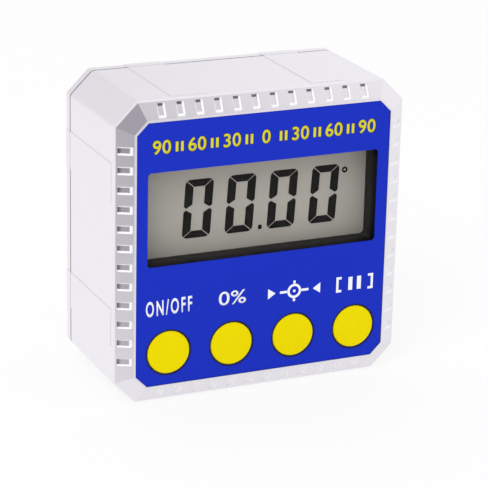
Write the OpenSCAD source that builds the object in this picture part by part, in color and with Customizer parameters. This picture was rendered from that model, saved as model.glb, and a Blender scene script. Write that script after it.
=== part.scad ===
// Digital angle gauge: an eight-sided box with a display, four push buttons and a coin-cell door.
// Millimetres. X runs to the right seen from the front, Y runs back, Z runs up.
// The origin is under the middle of the box, on the plane of the base pads.

/* [Body] */
// Width and height over the contact pads
body_size = 51; // [46:0.5:56]
// Depth from the front rim to the back face
body_depth = 27; // [26.5:0.5:34]
// Leg of the corner cuts on the side faces
corner_cut = 3.8; // [2.6:0.1:5]
// Radius of the long edges between the side faces
edge_r = 1.2; // [0.6:0.1:2]
// Thickness of the side walls
wall = 2.4; // [1.8:0.1:2.6]
// Depth of the inner face of the front wall
front_wall = 2.2; // [2:0.1:2.4]

/* [Front bevel] */
// Depth of the bevel where it meets the side faces
bevel_drop = 1.85; // [1.3:0.01:2.4]
// Distance of the label from the side faces
label_margin = 3.17; // [2.8:0.01:3.5]
// Width of the fine rim round the label
rim_w = 0.28; // [0.2:0.02:0.5]
// Height of that rim above the foot of the bevel
rim_rise = 0.35; // [0.2:0.05:0.6]
// Break of the sharp edge between bevel and side faces
edge_break = 0.25; // [0.1:0.05:0.4]
// Pockets along each side of the bevel
pocket_count = 12; // [6:1:12]
// Distance from the side of the label to the end of a row of pockets
pocket_end = 2.87; // [2.5:0.01:6]
// Width of a pocket's mouth along the edge
pocket_w = 1.4; // [0.9:0.05:1.8]
// Bevel left outside a pocket, next to the side face
pocket_outer_land = 0.5; // [0.4:0.05:0.8]
// Bevel left inside a pocket, next to the rim
pocket_inner_land = 0.15; // [0.1:0.05:0.6]
// Depth of a pocket below the bevel
pocket_depth = 0.36; // [0.3:0.02:0.6]
// Length of the slope at the end of a pocket next to the rim
pocket_ramp = 0.65; // [0.3:0.05:0.8]
// Lean of the two sides of a pocket
pocket_draft = 0.35; // [0.1:0.05:0.4]

/* [Contact pads] */
// How far the pads stand out of the side faces
pad_rise = 0.1; // [0.1:0.05:0.4]
// Length of a pad along its side
pad_length = 6.35; // [4:0.05:8]
// Distance of a pad's middle from the next side face
pad_inset = 13.15; // [11:0.05:16]
// Distance of a pad's front end from the edge of the bevel
pad_start = 1.2; // [0.6:0.1:3]
// Gap between the pads of the housing and those of the cover
pad_split = 0.12; // [0.05:0.01:0.3]

/* [Seam and back] */
// Depth of the rear cover behind its seam with the housing
cover_depth = 5.15; // [5:0.05:6.5]
// Width of the shadow groove behind the seam
groove_w = 0.35; // [0.25:0.05:0.8]
// Depth of that groove below the side faces
groove_depth = 0.8; // [0.4:0.1:1.4]
// Straight rim of the cover behind the groove
cover_rim = 1.6; // [0.6:0.05:2]
// Width of the bevel round the back face
back_inset = 2.2; // [1.8:0.1:2.8]
// Thickness of the back plate
back_t = 2; // [1.8:0.1:2.4]
// Length of the locating lip inside the housing
lip_length = 1.65; // [1:0.05:2]
// Thickness of that lip
lip_t = 1.15; // [0.8:0.05:1.5]
// Clearance between lip and housing
lip_gap = 0.05; // [0.03:0.01:0.15]

/* [Label] */
// Thickness of the label
label_t = 0.25; // [0.15:0.05:0.3]
// How far the label lies below the rim
label_sink = 0.1; // [0.05:0.05:0.2]
// Clearance round the label
label_gap = 0.05; // [0.02:0.01:0.1]

/* [Display] */
// Label left on each side of the window
window_side = 1.95; // [1.85:0.05:4]
// Label left above the window
window_above = 8.25; // [7.4:0.05:10]
// Label left below the window
window_below = 20.4; // [19.8:0.1:22]
// Corner radius of the window
window_r = 0.6; // [0.3:0.1:1.5]
// Depth of the front of the display glass
lcd_face = 4.6; // [4.2:0.1:5.4]
// Thickness of the display glass
lcd_t = 2.8; // [2:0.1:3]
// Border of the display glass outside the window
lcd_border = 1.1; // [0.7:0.1:1.2]
// Thickness of the clear lens
lens_t = 1; // [0.6:0.1:1.2]
// Gap between the lens and the display glass
lens_gap = 0.3; // [0.2:0.05:0.4]
// Ledge that the lens rests on
lens_ledge = 0.2; // [0.15:0.05:0.25]
// Step from the label's edge back to the wall of the display frame
frame_step = 0.3; // [0.3:0.05:0.4]
// Wall of the display frame in the window
frame_tube = 0.6; // [0.4:0.05:0.8]
// Wall of the display frame round the glass
frame_wall = 0.9; // [0.7:0.05:1]
// Clearance round the glass, the lens and the frame
frame_gap = 0.05; // [0.02:0.01:0.1]
// Height of the connector strip between glass and board
connector_h = 1; // [0.6:0.1:1.4]
// Width of the connector strip
connector_w = 2; // [1.4:0.1:2.4]

/* [Buttons] */
// Label left between two buttons
button_space = 3.85; // [3.4:0.01:5]
// Distance of the outer buttons' middles from the side of the label, on average
button_side = 5.55; // [5.2:0.05:5.8]
// How far the row of buttons lies to the right of the middle
button_shift = 0.2; // [0:0.05:0.3]
// Distance of the buttons' middles from the lower side of the label
button_low = 5.55; // [5.4:0.05:6.1]
// Gap round a button
button_gap = 0.15; // [0.1:0.01:0.3]
// Chamfer on the face of a button
button_edge = 0.15; // [0.05:0.05:0.4]
// Travel of a button
button_travel = 0.3; // [0.2:0.05:0.4]
// Width of the flange that keeps a button in
button_flange = 0.65; // [0.5:0.05:0.7]
// Thickness of that flange
button_flange_t = 0.8; // [0.5:0.1:1]
// Diameter of the stem behind a button
button_stem_d = 3; // [2:0.1:3.2]
// How far a button reaches past its switch on each side
switch_inset = 0.65; // [0.5:0.05:1]
// Height of a switch
switch_h = 3.5; // [3.2:0.1:3.6]
// Diameter of a switch plunger
plunger_d = 3.4; // [2.6:0.1:3.8]
// How far a plunger stands out of its switch
plunger_out = 0.7; // [0.6:0.05:0.9]
// Length of a plunger
plunger_length = 1.8; // [1.4:0.1:2.2]
// Radial clearance of a plunger
plunger_gap = 0.08; // [0.05:0.01:0.1]

/* [Board] */
// Thickness of the circuit board
board_t = 1.2; // [0.8:0.1:1.6]
// Clearance round the circuit board
board_gap = 0.4; // [0.2:0.05:0.6]
// Width of the processor
processor_w = 10; // [7:0.5:12]
// Width of the tilt sensor
sensor_w = 5; // [3:0.5:6]
// Height of both chips
chip_h = 1.2; // [0.8:0.1:1.6]
// Distance between the middles of the two chips
chip_spacing = 14; // [12:0.5:15]
// Height of the chips above the middle of the board
chip_rise = 10.5; // [8:0.5:11.5]
// Diameter of the bosses under the board
boss_d = 4; // [3.4:0.1:4.2]
// Distance of the bosses from the nearest side face
boss_inset = 5.2; // [5:0.1:5.7]
// Height of the lower bosses above the lower side of the label
lower_boss_rise = 14.25; // [13.6:0.05:14.6]
// Distance of the upper bosses from the middle
upper_boss_x = 9; // [6:0.5:13]

/* [Screws] */
// Diameter of the cover posts
post_d = 4.2; // [3.6:0.1:4.4]
// Distance of the upper posts from the side faces
upper_post_inset = 5.5; // [5.3:0.1:6]
// Distance of the lower posts from the base
lower_post_inset = 4.7; // [4.6:0.05:4.8]
// Gap between the end of a post and the lip of the cover
post_gap = 0.4; // [0.2:0.05:0.8]
// Diameter of a screw's shank
screw_d = 1.6; // [1.2:0.1:1.8]
// Diameter of a screw's head
screw_head_d = 3.4; // [2.8:0.1:3.6]
// Height of a screw's head
screw_head_h = 1.3; // [0.9:0.1:1.6]
// Radial clearance of a shank in its pilot hole
pilot_gap = 0.05; // [0.02:0.01:0.1]
// Radial clearance of a shank in the piece that it holds
screw_gap = 0.3; // [0.15:0.05:0.4]
// Length of a board screw
board_screw_length = 6; // [4:0.5:7]
// Length of a cover screw
cover_screw_length = 12; // [9:0.5:13]
// Thickness of the cover under a screw's head
screw_grip = 4.8; // [4:0.1:5]
// Wall round the head of a cover screw
seat_wall = 0.8; // [0.6:0.05:0.9]
// Width of the cross in a screw's head
cross_w = 0.6; // [0.4:0.05:0.8]
// Length of that cross
cross_length = 2; // [1.4:0.1:2.2]
// Depth of that cross
cross_depth = 0.65; // [0.4:0.05:0.8]
// Chamfer on a screw's head
head_edge = 0.4; // [0.2:0.05:0.5]
// Chamfer on a screw's tip
tip_edge = 0.4; // [0.2:0.05:0.5]

/* [Battery] */
// Gap between the coin cell and the door's collar
collar_gap = 1; // [0.8:0.1:2]
// Thickness of the coin cell
cell_h = 3.2; // [2:0.1:3.4]
// Width of the step round the cell's smaller cap
cell_step = 1.2; // [0.8:0.1:2]
// Height of that cap
cell_cap_h = 0.5; // [0.3:0.05:0.8]
// Clearance of the cell and of the turning lugs
cell_gap = 0.3; // [0.2:0.05:0.4]
// Wall round the cell's pocket
cell_wall = 1.5; // [1.2:0.1:1.7]
// Outer wall of the battery well
well_wall = 1.4; // [1:0.1:2]
// Floor of the battery well
well_floor_t = 1; // [0.8:0.1:1.5]
// Room for the leaf spring under the cell
spring_room = 1; // [0.7:0.1:1.4]
// Thickness of the contact strips
strip_t = 0.3; // [0.2:0.05:0.4]
// Width of the contact strips
strip_w = 5; // [3:0.5:6]
// Width of the tails of the contacts
tail_w = 1.6; // [1:0.1:2]
// Length of the tails in front of the well
tail_length = 0.8; // [0.5:0.1:1.5]
// Distance of the leaf spring's tail from the cell's rim
tail_inset = 2.5; // [2:0.1:3]
// Length of the flat foot of the leaf spring
leaf_foot = 3; // [2:0.1:4]
// Distance from the axis to the crest of the leaf spring
leaf_crest = 1.5; // [0:0.1:2]
// Width of that crest
leaf_crest_w = 1; // [0.6:0.1:1.5]
// Distance from the axis to the tip of the leaf spring
leaf_tip = 5; // [4:0.1:7]
// Diameter of the battery leads
lead_d = 1; // [0.6:0.1:1.4]
// Diameter of the battery door
door_d = 25; // [22:0.5:27.5]
// Thickness of the battery door
door_t = 1.5; // [1.2:0.1:1.7]
// Running clearance of the door
door_gap = 0.1; // [0.05:0.01:0.15]
// Wall of the door's collar
collar_t = 1.5; // [1.2:0.1:1.6]
// How far the lugs stand out of the collar
lug_reach = 1.7; // [1.2:0.1:2.2]
// Thickness of the lugs
lug_t = 1.1; // [0.8:0.1:1.3]
// Number of lugs
lug_count = 3; // [2:1:3]
// Angle that a lug takes up
lug_span = 30; // [20:1:34]
// Turn that frees the door
door_turn = 40; // [36:1:46]
// Angle that a stop in the lugs' channel takes up
stop_span = 6; // [4:1:8]
// Angle left free between a lug and its stop
stop_gap = 2; // [1.5:0.5:3]
// Angle left free on each side of a lug in its notch
notch_gap = 1; // [0.5:0.1:1.2]
// Width of the slot for a coin
coin_slot_w = 1.8; // [1.2:0.1:2.4]
// Length of the slot for a coin
coin_slot_length = 14; // [10:0.5:18]
// Depth of the slot for a coin
coin_slot_depth = 0.8; // [0.5:0.1:1]

/* [Magnets] */
// Gap between a base magnet and the pieces in front of it, behind it and beside it
magnet_gap = 1; // [0.8:0.1:2]
// Gap between the two base magnets
magnet_spacing = 2.8; // [1.6:0.1:4]
// Height of a base magnet
magnet_h = 3; // [2:0.1:4]
// How far a magnet is let into the base wall
magnet_sink = 1.2; // [0.6:0.1:1.4]

/* [Hidden] */
$fn = 64;

// Colours of the pieces
shell_white = [0.93, 0.92, 0.94];
label_blue = [0.12, 0.2, 0.74];
button_yellow = [0.93, 0.85, 0.01];
frame_black = [0.05, 0.05, 0.05];
glass_grey = [0.61, 0.6, 0.56];
clear_tint = [0.85, 0.9, 0.92, 0.3];
board_green = [0.1, 0.4, 0.22];
metal_grey = [0.72, 0.73, 0.75];

// How far a cut runs past a face, and how far a raised piece is rooted in its wall
spare = 1;
root = 0.5;

// Octagon of the body
mid_z = body_size / 2;
face_half = body_size / 2 - pad_rise;
diagonal_half = (2 * face_half - corner_cut) / sqrt(2);
label_half = face_half - label_margin;
rim_inset = label_margin - rim_w;
pocket_pitch = 2 * (label_half - pocket_end) / pocket_count;
pad_offset = face_half - pad_inset;
seam_depth = body_depth - cover_depth;
groove_back = seam_depth + groove_w;
cover_back = groove_back + cover_rim;
back_inner = body_depth - back_t;
bevel_slope = (bevel_drop - rim_rise) / rim_inset;
break_slope = 1 + bevel_slope;
back_slope = (body_depth - cover_back) / back_inset;
housing_profile = [
    [rim_inset, 0], [rim_inset, rim_rise], [edge_break, bevel_drop - edge_break * bevel_slope],
    [-spare, bevel_drop + edge_break + spare * break_slope], [-spare, seam_depth]
];
cover_profile = [[-cover_rim / back_slope, groove_back], [back_inset, body_depth]];

// Places on the label
window_w = 2 * (label_half - window_side);
window_h = 2 * label_half - window_above - window_below;
window_z = mid_z + (window_below - window_above) / 2;
button_z = mid_z - label_half + button_low;
button_pitch = 2 * (label_half - button_side) / 3;
button_d = button_pitch - button_space;
switch_w = button_d - 2 * switch_inset;
button_x = [for (i = [0 : 3]) i * button_pitch + button_side - label_half + button_shift];

// Depths of the display, the board and the buttons
label_back = label_sink + label_t;
lens_back = lcd_face - lens_gap;
lens_front = lens_back - lens_t;
board_front = lcd_face + lcd_t + connector_h;
board_back = board_front + board_t;
switch_top = board_front - switch_h;
plunger_top = switch_top - plunger_out;
flange_front = front_wall + button_travel;

// Places of the bosses and posts; the angle of a post points to the nearest edge
board_bosses = [
    for (side = [-1, 1]) [side * (face_half - boss_inset), mid_z - label_half + lower_boss_rise],
    for (side = [-1, 1]) [side * upper_boss_x, mid_z + face_half - boss_inset]
];
upper_post = face_half - upper_post_inset;
lower_post = face_half - lower_post_inset;
cover_posts = [
    [-upper_post, mid_z + upper_post, 135], [upper_post, mid_z + upper_post, 45],
    [-button_pitch, mid_z - lower_post, -90], [button_pitch, mid_z - lower_post, -90]
];
lip_front = seam_depth - lip_length;
post_end = lip_front - post_gap;
screw_seat = post_end + screw_grip;
seat_d = screw_head_d + 2 * screw_gap;
seat_boss_d = seat_d + 2 * seat_wall;

// Depths and radii of the battery well
door_r = door_d / 2;
lug_r = door_r + lug_reach;
lug_back = back_inner - door_gap;
lug_front = lug_back - lug_t;
channel_front = lug_front - cell_gap;
channel_r = lug_r + cell_gap;
cell_r = door_r - collar_t - collar_gap;
cell_back = body_depth - door_t - cell_gap;
cell_front = cell_back - cell_h;
well_floor = cell_front - spring_room;
well_front = well_floor - well_floor_t;
well_r = channel_r + well_wall;
pocket_wall_r = cell_r + cell_gap + cell_wall;
tail_end = well_front - tail_length;
tail_x = cell_r - tail_inset;
stop_angle = (lug_span + stop_span) / 2 + stop_gap;
notch_span = lug_span + 2 * notch_gap;
lug_angles = [for (i = [0 : lug_count - 1]) 90 + i * 360 / lug_count];

// Base magnets, between the board and the cover's lip and beside the lower posts
magnet_front = board_back + magnet_gap;
magnet_length = lip_front - magnet_gap - magnet_front;
magnet_w = button_pitch - post_d / 2 - magnet_gap - magnet_spacing / 2;
magnet_x = (magnet_spacing + magnet_w) / 2;

// Helpers

// Extrudes a front-view outline between two depths behind the front plane
module slab(from, to) {
    translate([0, to - body_depth / 2, 0])
        rotate([90, 0, 0])
            linear_extrude(to - from)
                children();
}

// Turns a profile of [radius, depth] points about an axis that runs back from the front
module turned(x, z, profile) {
    translate([x, -body_depth / 2, z])
        rotate([-90, 0, 0])
            rotate_extrude()
                polygon(profile);
}

// Front-view octagon, a given distance inside the side faces
module octagon(inset) {
    half = face_half - inset;
    flat = half - corner_cut + (2 - sqrt(2)) * inset;
    translate([0, mid_z])
        polygon([
            [flat, -half], [half, -flat], [half, flat], [flat, half],
            [-flat, half], [-half, flat], [-half, -flat], [-flat, -half]
        ]);
}

// Front-view octagon of the side faces with its corners rounded
module rounded_octagon() {
    half = face_half - edge_r;
    flat = half - corner_cut + (2 - sqrt(2)) * edge_r;
    lean = edge_r / sqrt(2);
    translate([0, mid_z])
        for (turn = [0 : 90 : 270])
            rotate(turn) {
                polygon([
                    [0, 0], [face_half, -flat], [face_half, flat], [half + lean, flat + lean],
                    [flat + lean, half + lean], [flat, face_half]
                ]);
                for (corner = [[half, flat], [flat, half]])
                    translate(corner)
                        circle(edge_r);
            }
}

// Eight-sided block with mitred bevels; the profile gives [inset, depth] from front to back
module mitred_block(profile) {
    intersection() {
        slab(-spare, body_depth + spare)
            rounded_octagon();
        intersection_for (turn = [0 : 45 : 135]) {
            reach = turn % 90 == 0 ? face_half : diagonal_half;
            right = [for (p = profile) [reach - p[0], p[1] - body_depth / 2]];
            left = [for (i = [len(profile) - 1 : -1 : 0]) [-right[i][0], right[i][1]]];
            translate([0, 0, mid_z])
                rotate([0, turn, 0])
                    linear_extrude(2 * body_size, center = true)
                        polygon(concat(right, left));
        }
    }
}

// Rectangle with round corners about the middle of the window
module window_outline(grow) {
    w = window_w + 2 * grow;
    h = window_h + 2 * grow;
    r = window_r + max(grow, 0);
    translate([0, window_z]) {
        square([w - 2 * r, h], center = true);
        square([w, h - 2 * r], center = true);
        for (x = [-1, 1], z = [-1, 1])
            translate([x * (w / 2 - r), z * (h / 2 - r)])
                circle(r);
    }
}

// Circle at each of a list of places
module discs(places, d) {
    for (p = places)
        translate([p[0], p[1]])
            circle(d = d);
}

// Piece of a ring about the battery's axis, seen from the front
module ring_piece(inner, outer, angle, span) {
    far = 2 * outer;
    translate([0, mid_z])
        rotate(angle)
            intersection() {
                difference() {
                    circle(outer);
                    circle(inner);
                }
                polygon([
                    [0, 0], [far * cos(span / 2), -far * sin(span / 2)],
                    [far * cos(span / 2), far * sin(span / 2)]
                ]);
            }
}

// Disc about the battery's axis
module battery_disc(r) {
    translate([0, mid_z])
        circle(r);
}

// Two raised pads on each of the four sides
module contact_pads(from, to) {
    slab(from, to)
        translate([0, mid_z])
            for (turn = [0 : 90 : 270], side = [-1, 1])
                rotate(turn)
                    translate([face_half - root, side * pad_offset - pad_length / 2])
                        square([root + pad_rise, pad_length]);
}

// Cut for one pocket: x runs down the bevel from its inner end, y into it and z along the edge
module pocket_cut() {
    length = (rim_inset - pocket_outer_land - pocket_inner_land) * sqrt(1 + bevel_slope * bevel_slope);
    half = pocket_w / 2;
    intersection() {
        linear_extrude(2 * pocket_w, center = true)
            polygon([
                [0, -root], [length, -root], [length, 2 * pocket_depth],
                [2 * pocket_ramp, 2 * pocket_depth], [0, 0]
            ]);
        rotate([0, 90, 0])
            translate([0, 0, -spare])
                linear_extrude(length + 2 * spare)
                    polygon([
                        [-half, -spare], [half, -spare], [half, 0], [half - pocket_draft, pocket_depth],
                        [pocket_draft - half, pocket_depth], [-half, 0]
                    ]);
    }
}

// Cuts for the pockets along the four sides of the bevel
module bevel_pockets() {
    inner = face_half - rim_inset + pocket_inner_land;
    inner_depth = rim_rise + pocket_inner_land * bevel_slope;
    for (turn = [0 : 90 : 270], i = [0 : pocket_count - 1])
        translate([0, 0, mid_z])
            rotate([0, turn, 0])
                translate([inner, inner_depth - body_depth / 2, (i - (pocket_count - 1) / 2) * pocket_pitch])
                    rotate([0, 0, atan(bevel_slope)])
                        pocket_cut();
}

// Pan-head screws with a cross recess; the head lies behind the seat
module screws(places, seat, length) {
    shank_r = screw_d / 2;
    head_r = screw_head_d / 2;
    tip = seat - length;
    head_back = seat + screw_head_h;
    for (p = places)
        difference() {
            turned(p[0], p[1], [
                [0, tip], [shank_r - tip_edge, tip], [shank_r, tip + tip_edge], [shank_r, seat],
                [head_r, seat], [head_r, head_back - head_edge], [head_r - head_edge, head_back],
                [0, head_back]
            ]);
            slab(head_back - cross_depth, head_back + spare)
                translate([p[0], p[1]]) {
                    square([cross_length, cross_w], center = true);
                    square([cross_w, cross_length], center = true);
                }
        }
}

// Box of a base magnet, which is glued into a pocket of its own size
module magnet_block(side) {
    translate([
        side * magnet_x - magnet_w / 2,
        magnet_front - body_depth / 2,
        pad_rise + wall - magnet_sink
    ])
        cube([magnet_w, magnet_length, magnet_h]);
}

// Sub-parts

// Front housing: bevelled front with pockets, window, button holes, side walls, pads and posts
module housing() {
    color(shell_white)
        difference() {
            union() {
                difference() {
                    union() {
                        mitred_block(housing_profile);
                        contact_pads(bevel_drop + pad_start, seam_depth);
                    }
                    slab(front_wall, seam_depth + spare)
                        octagon(wall);
                }
                slab(front_wall - root, post_end)
                    discs(cover_posts, post_d);
                slab(front_wall - root, board_front)
                    discs(board_bosses, boss_d);
            }
            bevel_pockets();
            slab(-spare, label_back)
                octagon(label_margin);
            slab(-spare, front_wall + spare)
                window_outline(frame_step + frame_tube + frame_gap);
            slab(-spare, front_wall + spare)
                button_discs(button_d + 2 * button_gap);
            slab(screw_seat - cover_screw_length - spare, post_end + spare)
                discs(cover_posts, screw_d + 2 * pilot_gap);
            slab(board_back - board_screw_length - root, board_front + spare)
                discs(board_bosses, screw_d + 2 * pilot_gap);
            for (side = [-1, 1])
                magnet_block(side);
        }
}

// Circles at the four buttons
module button_discs(d) {
    for (x = button_x)
        translate([x, button_z])
            circle(d = d);
}

// Printed label let into the front of the housing
module front_label() {
    color(label_blue)
        slab(label_sink, label_back)
            difference() {
                octagon(label_margin + label_gap);
                window_outline(0);
                button_discs(button_d + 2 * button_gap);
            }
}

// Black frame that lines the window and holds the lens and the glass
module lcd_frame() {
    glass = lcd_border + frame_gap;
    color(frame_black)
        difference() {
            union() {
                slab(label_back, front_wall + root)
                    window_outline(frame_step + frame_tube);
                slab(front_wall, lcd_face + lcd_t)
                    window_outline(glass + frame_wall);
            }
            slab(label_back - spare, lens_back)
                window_outline(frame_step);
            slab(lens_back - root, lcd_face + root)
                window_outline(frame_step - lens_ledge);
            slab(lcd_face, lcd_face + lcd_t + spare)
                window_outline(glass);
        }
}

// Clear lens on the ledge of the frame, just in front of the glass
module window_lens() {
    color(clear_tint)
        slab(lens_front, lens_back)
            window_outline(frame_step - frame_gap);
}

// Display glass
module lcd_panel() {
    color(glass_grey)
        slab(lcd_face, lcd_face + lcd_t)
            window_outline(lcd_border);
}

// Rubber strip that joins the glass to the board along its lower edge
module lcd_connector() {
    color(frame_black)
        slab(lcd_face + lcd_t, board_front)
            translate([-window_w / 2, window_z - window_h / 2])
                square([window_w, connector_w]);
}

// Circuit board, cut away round the cover posts
module circuit_board() {
    notch = post_d + 2 * board_gap;
    color(board_green)
        slab(board_front, board_back)
            difference() {
                octagon(wall + board_gap);
                discs(cover_posts, notch);
                for (p = cover_posts)
                    translate([p[0], p[1]])
                        rotate(p[2])
                            translate([0, -notch / 2])
                                square([body_size, notch]);
                discs(board_bosses, screw_d + 2 * screw_gap);
            }
}

// Square chip on the back of the board
module chip(x, w) {
    slab(board_back, board_back + chip_h)
        translate([x, mid_z + chip_rise])
            square(w, center = true);
}

// Processor on the upper half of the board
module processor_chip() {
    color(frame_black)
        chip(chip_spacing / 2, processor_w);
}

// Tilt sensor beside the processor
module tilt_sensor() {
    color(metal_grey)
        chip(-chip_spacing / 2, sensor_w);
}

// Screws that hold the board
module board_screws() {
    color(metal_grey)
        screws(board_bosses, board_back, board_screw_length);
}

// Button with a flange behind the front wall and a stem on the switch plunger
module button_cap(i) {
    r = button_d / 2;
    flange_r = r + button_flange;
    stem_r = button_stem_d / 2;
    flange_back = flange_front + button_flange_t;
    color(button_yellow)
        turned(button_x[i - 1], button_z, [
            [0, 0], [r - button_edge, 0], [r, button_edge], [r, flange_front], [flange_r, flange_front],
            [flange_r, flange_back], [stem_r, flange_back], [stem_r, plunger_top], [0, plunger_top]
        ]);
}

// Switch on the board, with the hole that its plunger slides in
module switch_body(i) {
    hole_floor = plunger_top + plunger_length + 2 * button_travel;
    color(frame_black)
        translate([button_x[i - 1], 0, 0])
            difference() {
                slab(switch_top, board_front)
                    translate([0, button_z])
                        square(switch_w, center = true);
                slab(switch_top - spare, hole_floor)
                    translate([0, button_z])
                        circle(d = plunger_d + 2 * plunger_gap);
            }
}

// Plunger between a button and its switch
module switch_plunger(i) {
    color(metal_grey)
        slab(plunger_top, plunger_top + plunger_length)
            translate([button_x[i - 1], button_z])
                circle(d = plunger_d);
}

// Magnet let into the base wall
module base_magnet(i) {
    color(metal_grey)
        magnet_block(i == 1 ? -1 : 1);
}

// Rear cover: rim, bevelled back, lip, screw seats and the well of the coin cell
module rear_cover() {
    color(shell_white) {
        difference() {
            union() {
                difference() {
                    union() {
                        mitred_block(cover_profile);
                        slab(seam_depth, groove_back + root)
                            octagon(groove_depth);
                    }
                    slab(seam_depth - spare, back_inner)
                        octagon(wall + lip_gap + lip_t);
                }
                contact_pads(seam_depth + pad_split, cover_back);
                slab(lip_front, seam_depth + root)
                    difference() {
                        octagon(wall + lip_gap);
                        octagon(wall + lip_gap + lip_t);
                    }
                slab(post_end, back_inner + root)
                    intersection() {
                        octagon(wall + lip_gap);
                        discs(cover_posts, seat_boss_d);
                    }
                slab(well_front, back_inner + root)
                    battery_disc(well_r);
            }
            slab(post_end - spare, body_depth)
                discs(cover_posts, screw_d + 2 * screw_gap);
            slab(screw_seat, body_depth + spare)
                discs(cover_posts, seat_d);
            slab(channel_front - root, body_depth + spare)
                battery_disc(door_r + door_gap);
            slab(channel_front, back_inner)
                battery_disc(channel_r);
            slab(well_floor, channel_front + root)
                battery_disc(cell_r + cell_gap);
            slab(back_inner - root, body_depth + spare)
                for (angle = lug_angles)
                    ring_piece(door_r - spare, lug_r + door_gap, angle - door_turn, notch_span);
            slab(well_front - spare, channel_front - well_floor_t)
                difference() {
                    battery_disc(channel_r);
                    battery_disc(pocket_wall_r);
                }
            slab(tail_end, channel_front + root)
                positive_strip_outline(cell_gap / 2);
            slab(tail_end, well_floor + root)
                negative_tail_outline(cell_gap / 2);
        }
        slab(channel_front - root, back_inner)
            for (angle = lug_angles)
                for (stop = [angle + stop_angle, angle - door_turn - stop_angle])
                    ring_piece(door_r + cell_gap, channel_r + root, stop, stop_span);
    }
}

// Front view of the positive contact, which stands beside the cell
module positive_strip_outline(grow) {
    translate([cell_r - grow, mid_z - strip_w / 2 - grow])
        square([strip_t + 2 * grow, strip_w + 2 * grow]);
}

// Front view of the negative contact's tail
module negative_tail_outline(grow) {
    translate([-tail_x - strip_t / 2 - grow, mid_z - tail_w / 2 - grow])
        square([strip_t + 2 * grow, tail_w + 2 * grow]);
}

// Screws that hold the rear cover
module cover_screws() {
    color(metal_grey)
        screws(cover_posts, screw_seat, cover_screw_length);
}

// Round door with a collar, lugs that turn under the back plate and a slot for a coin
module battery_door() {
    color(shell_white)
        difference() {
            union() {
                slab(lug_front, body_depth)
                    battery_disc(door_r);
                slab(lug_front, lug_back)
                    for (angle = lug_angles)
                        ring_piece(door_r - root, lug_r, angle, lug_span);
            }
            slab(lug_front - spare, body_depth - door_t)
                battery_disc(door_r - collar_t);
            slab(body_depth - coin_slot_depth, body_depth + spare)
                translate([0, mid_z])
                    square([coin_slot_length, coin_slot_w], center = true);
        }
}

// Coin cell with its smaller cap towards the front
module coin_cell() {
    cap_r = cell_r - cell_step;
    cap_back = cell_front + cell_cap_h;
    color(metal_grey)
        turned(0, mid_z, [
            [0, cell_front], [cap_r, cell_front], [cap_r, cap_back], [cell_r, cap_back],
            [cell_r, cell_back], [0, cell_back]
        ]);
}

// Leaf spring under the cell, with a tail through the floor of the well
module contact_negative() {
    foot = -tail_x - strip_t / 2;
    crest = leaf_crest + leaf_crest_w;
    underside = [
        [foot, well_floor], [foot + leaf_foot, well_floor], [leaf_crest, cell_front - strip_t],
        [crest, cell_front - strip_t], [leaf_tip, well_floor + strip_t]
    ];
    top = [for (i = [len(underside) - 1 : -1 : 0]) underside[i] + [0, strip_t]];
    color(metal_grey) {
        translate([0, -body_depth / 2, mid_z])
            linear_extrude(strip_w, center = true)
                polygon(concat(underside, top));
        slab(tail_end, well_floor + strip_t)
            negative_tail_outline(0);
    }
}

// Upright strip against the side of the cell, with a tail through the floor of the well
module contact_positive() {
    color(metal_grey) {
        slab(well_front, channel_front)
            positive_strip_outline(0);
        slab(tail_end, well_front + root)
            translate([cell_r, mid_z - tail_w / 2])
                square([strip_t, tail_w]);
    }
}

// Wire from the board to the tail of a contact
module lead(x) {
    slab(board_back, tail_end)
        translate([x, mid_z])
            circle(d = lead_d);
}

// Wire of the negative contact
module lead_negative() {
    color(frame_black)
        lead(-tail_x);
}

// Wire of the positive contact
module lead_positive() {
    color("red")
        lead(cell_r + strip_t / 2);
}

housing();
front_label();
lcd_frame();
window_lens();
lcd_panel();
lcd_connector();
circuit_board();
processor_chip();
tilt_sensor();
board_screws();
for (i = [1 : 4]) {
    button_cap(i);
    switch_body(i);
    switch_plunger(i);
}
for (i = [1 : 2])
    base_magnet(i);
rear_cover();
cover_screws();
battery_door();
coin_cell();
contact_negative();
contact_positive();
lead_negative();
lead_positive();
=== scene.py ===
"""Digital angle gauge: finishes, display digits, printed marks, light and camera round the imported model."""
import math

import bmesh
import bpy
from bpy.props import FloatProperty, FloatVectorProperty, IntProperty, PointerProperty
from mathutils import Matrix, Vector


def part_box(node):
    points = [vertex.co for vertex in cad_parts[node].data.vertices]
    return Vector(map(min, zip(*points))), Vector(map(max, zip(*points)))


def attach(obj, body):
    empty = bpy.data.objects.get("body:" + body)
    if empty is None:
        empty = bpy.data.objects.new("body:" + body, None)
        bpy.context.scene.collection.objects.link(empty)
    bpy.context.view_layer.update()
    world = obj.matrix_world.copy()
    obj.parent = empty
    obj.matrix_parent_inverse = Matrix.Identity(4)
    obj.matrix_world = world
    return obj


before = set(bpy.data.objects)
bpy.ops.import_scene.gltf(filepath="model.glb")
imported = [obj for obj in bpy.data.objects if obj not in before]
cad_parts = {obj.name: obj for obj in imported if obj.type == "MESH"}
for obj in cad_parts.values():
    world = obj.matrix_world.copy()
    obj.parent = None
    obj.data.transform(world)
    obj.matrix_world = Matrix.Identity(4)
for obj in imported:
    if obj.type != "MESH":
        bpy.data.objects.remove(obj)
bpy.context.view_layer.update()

bl_info = {
    "name": "Digital angle gauge",
    "version": (1, 0, 0),
    "blender": (4, 5, 0),
    "location": "View3D > Sidebar > Angle gauge",
    "description": "Dresses the packed angle gauge and lights it",
    "category": "Object",
}

MM = 0.001
CASE = "case"
BUTTONS = range(1, 5)
# How far a point may be off a wall and still count as on it
WALL = 0.02 * MM
# Farther than any point of the gauge is from its middle
FAR = 100 * MM
# Corners closer than this to one another, in metres, are one corner
SAME_CORNER = 1e-7
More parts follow.
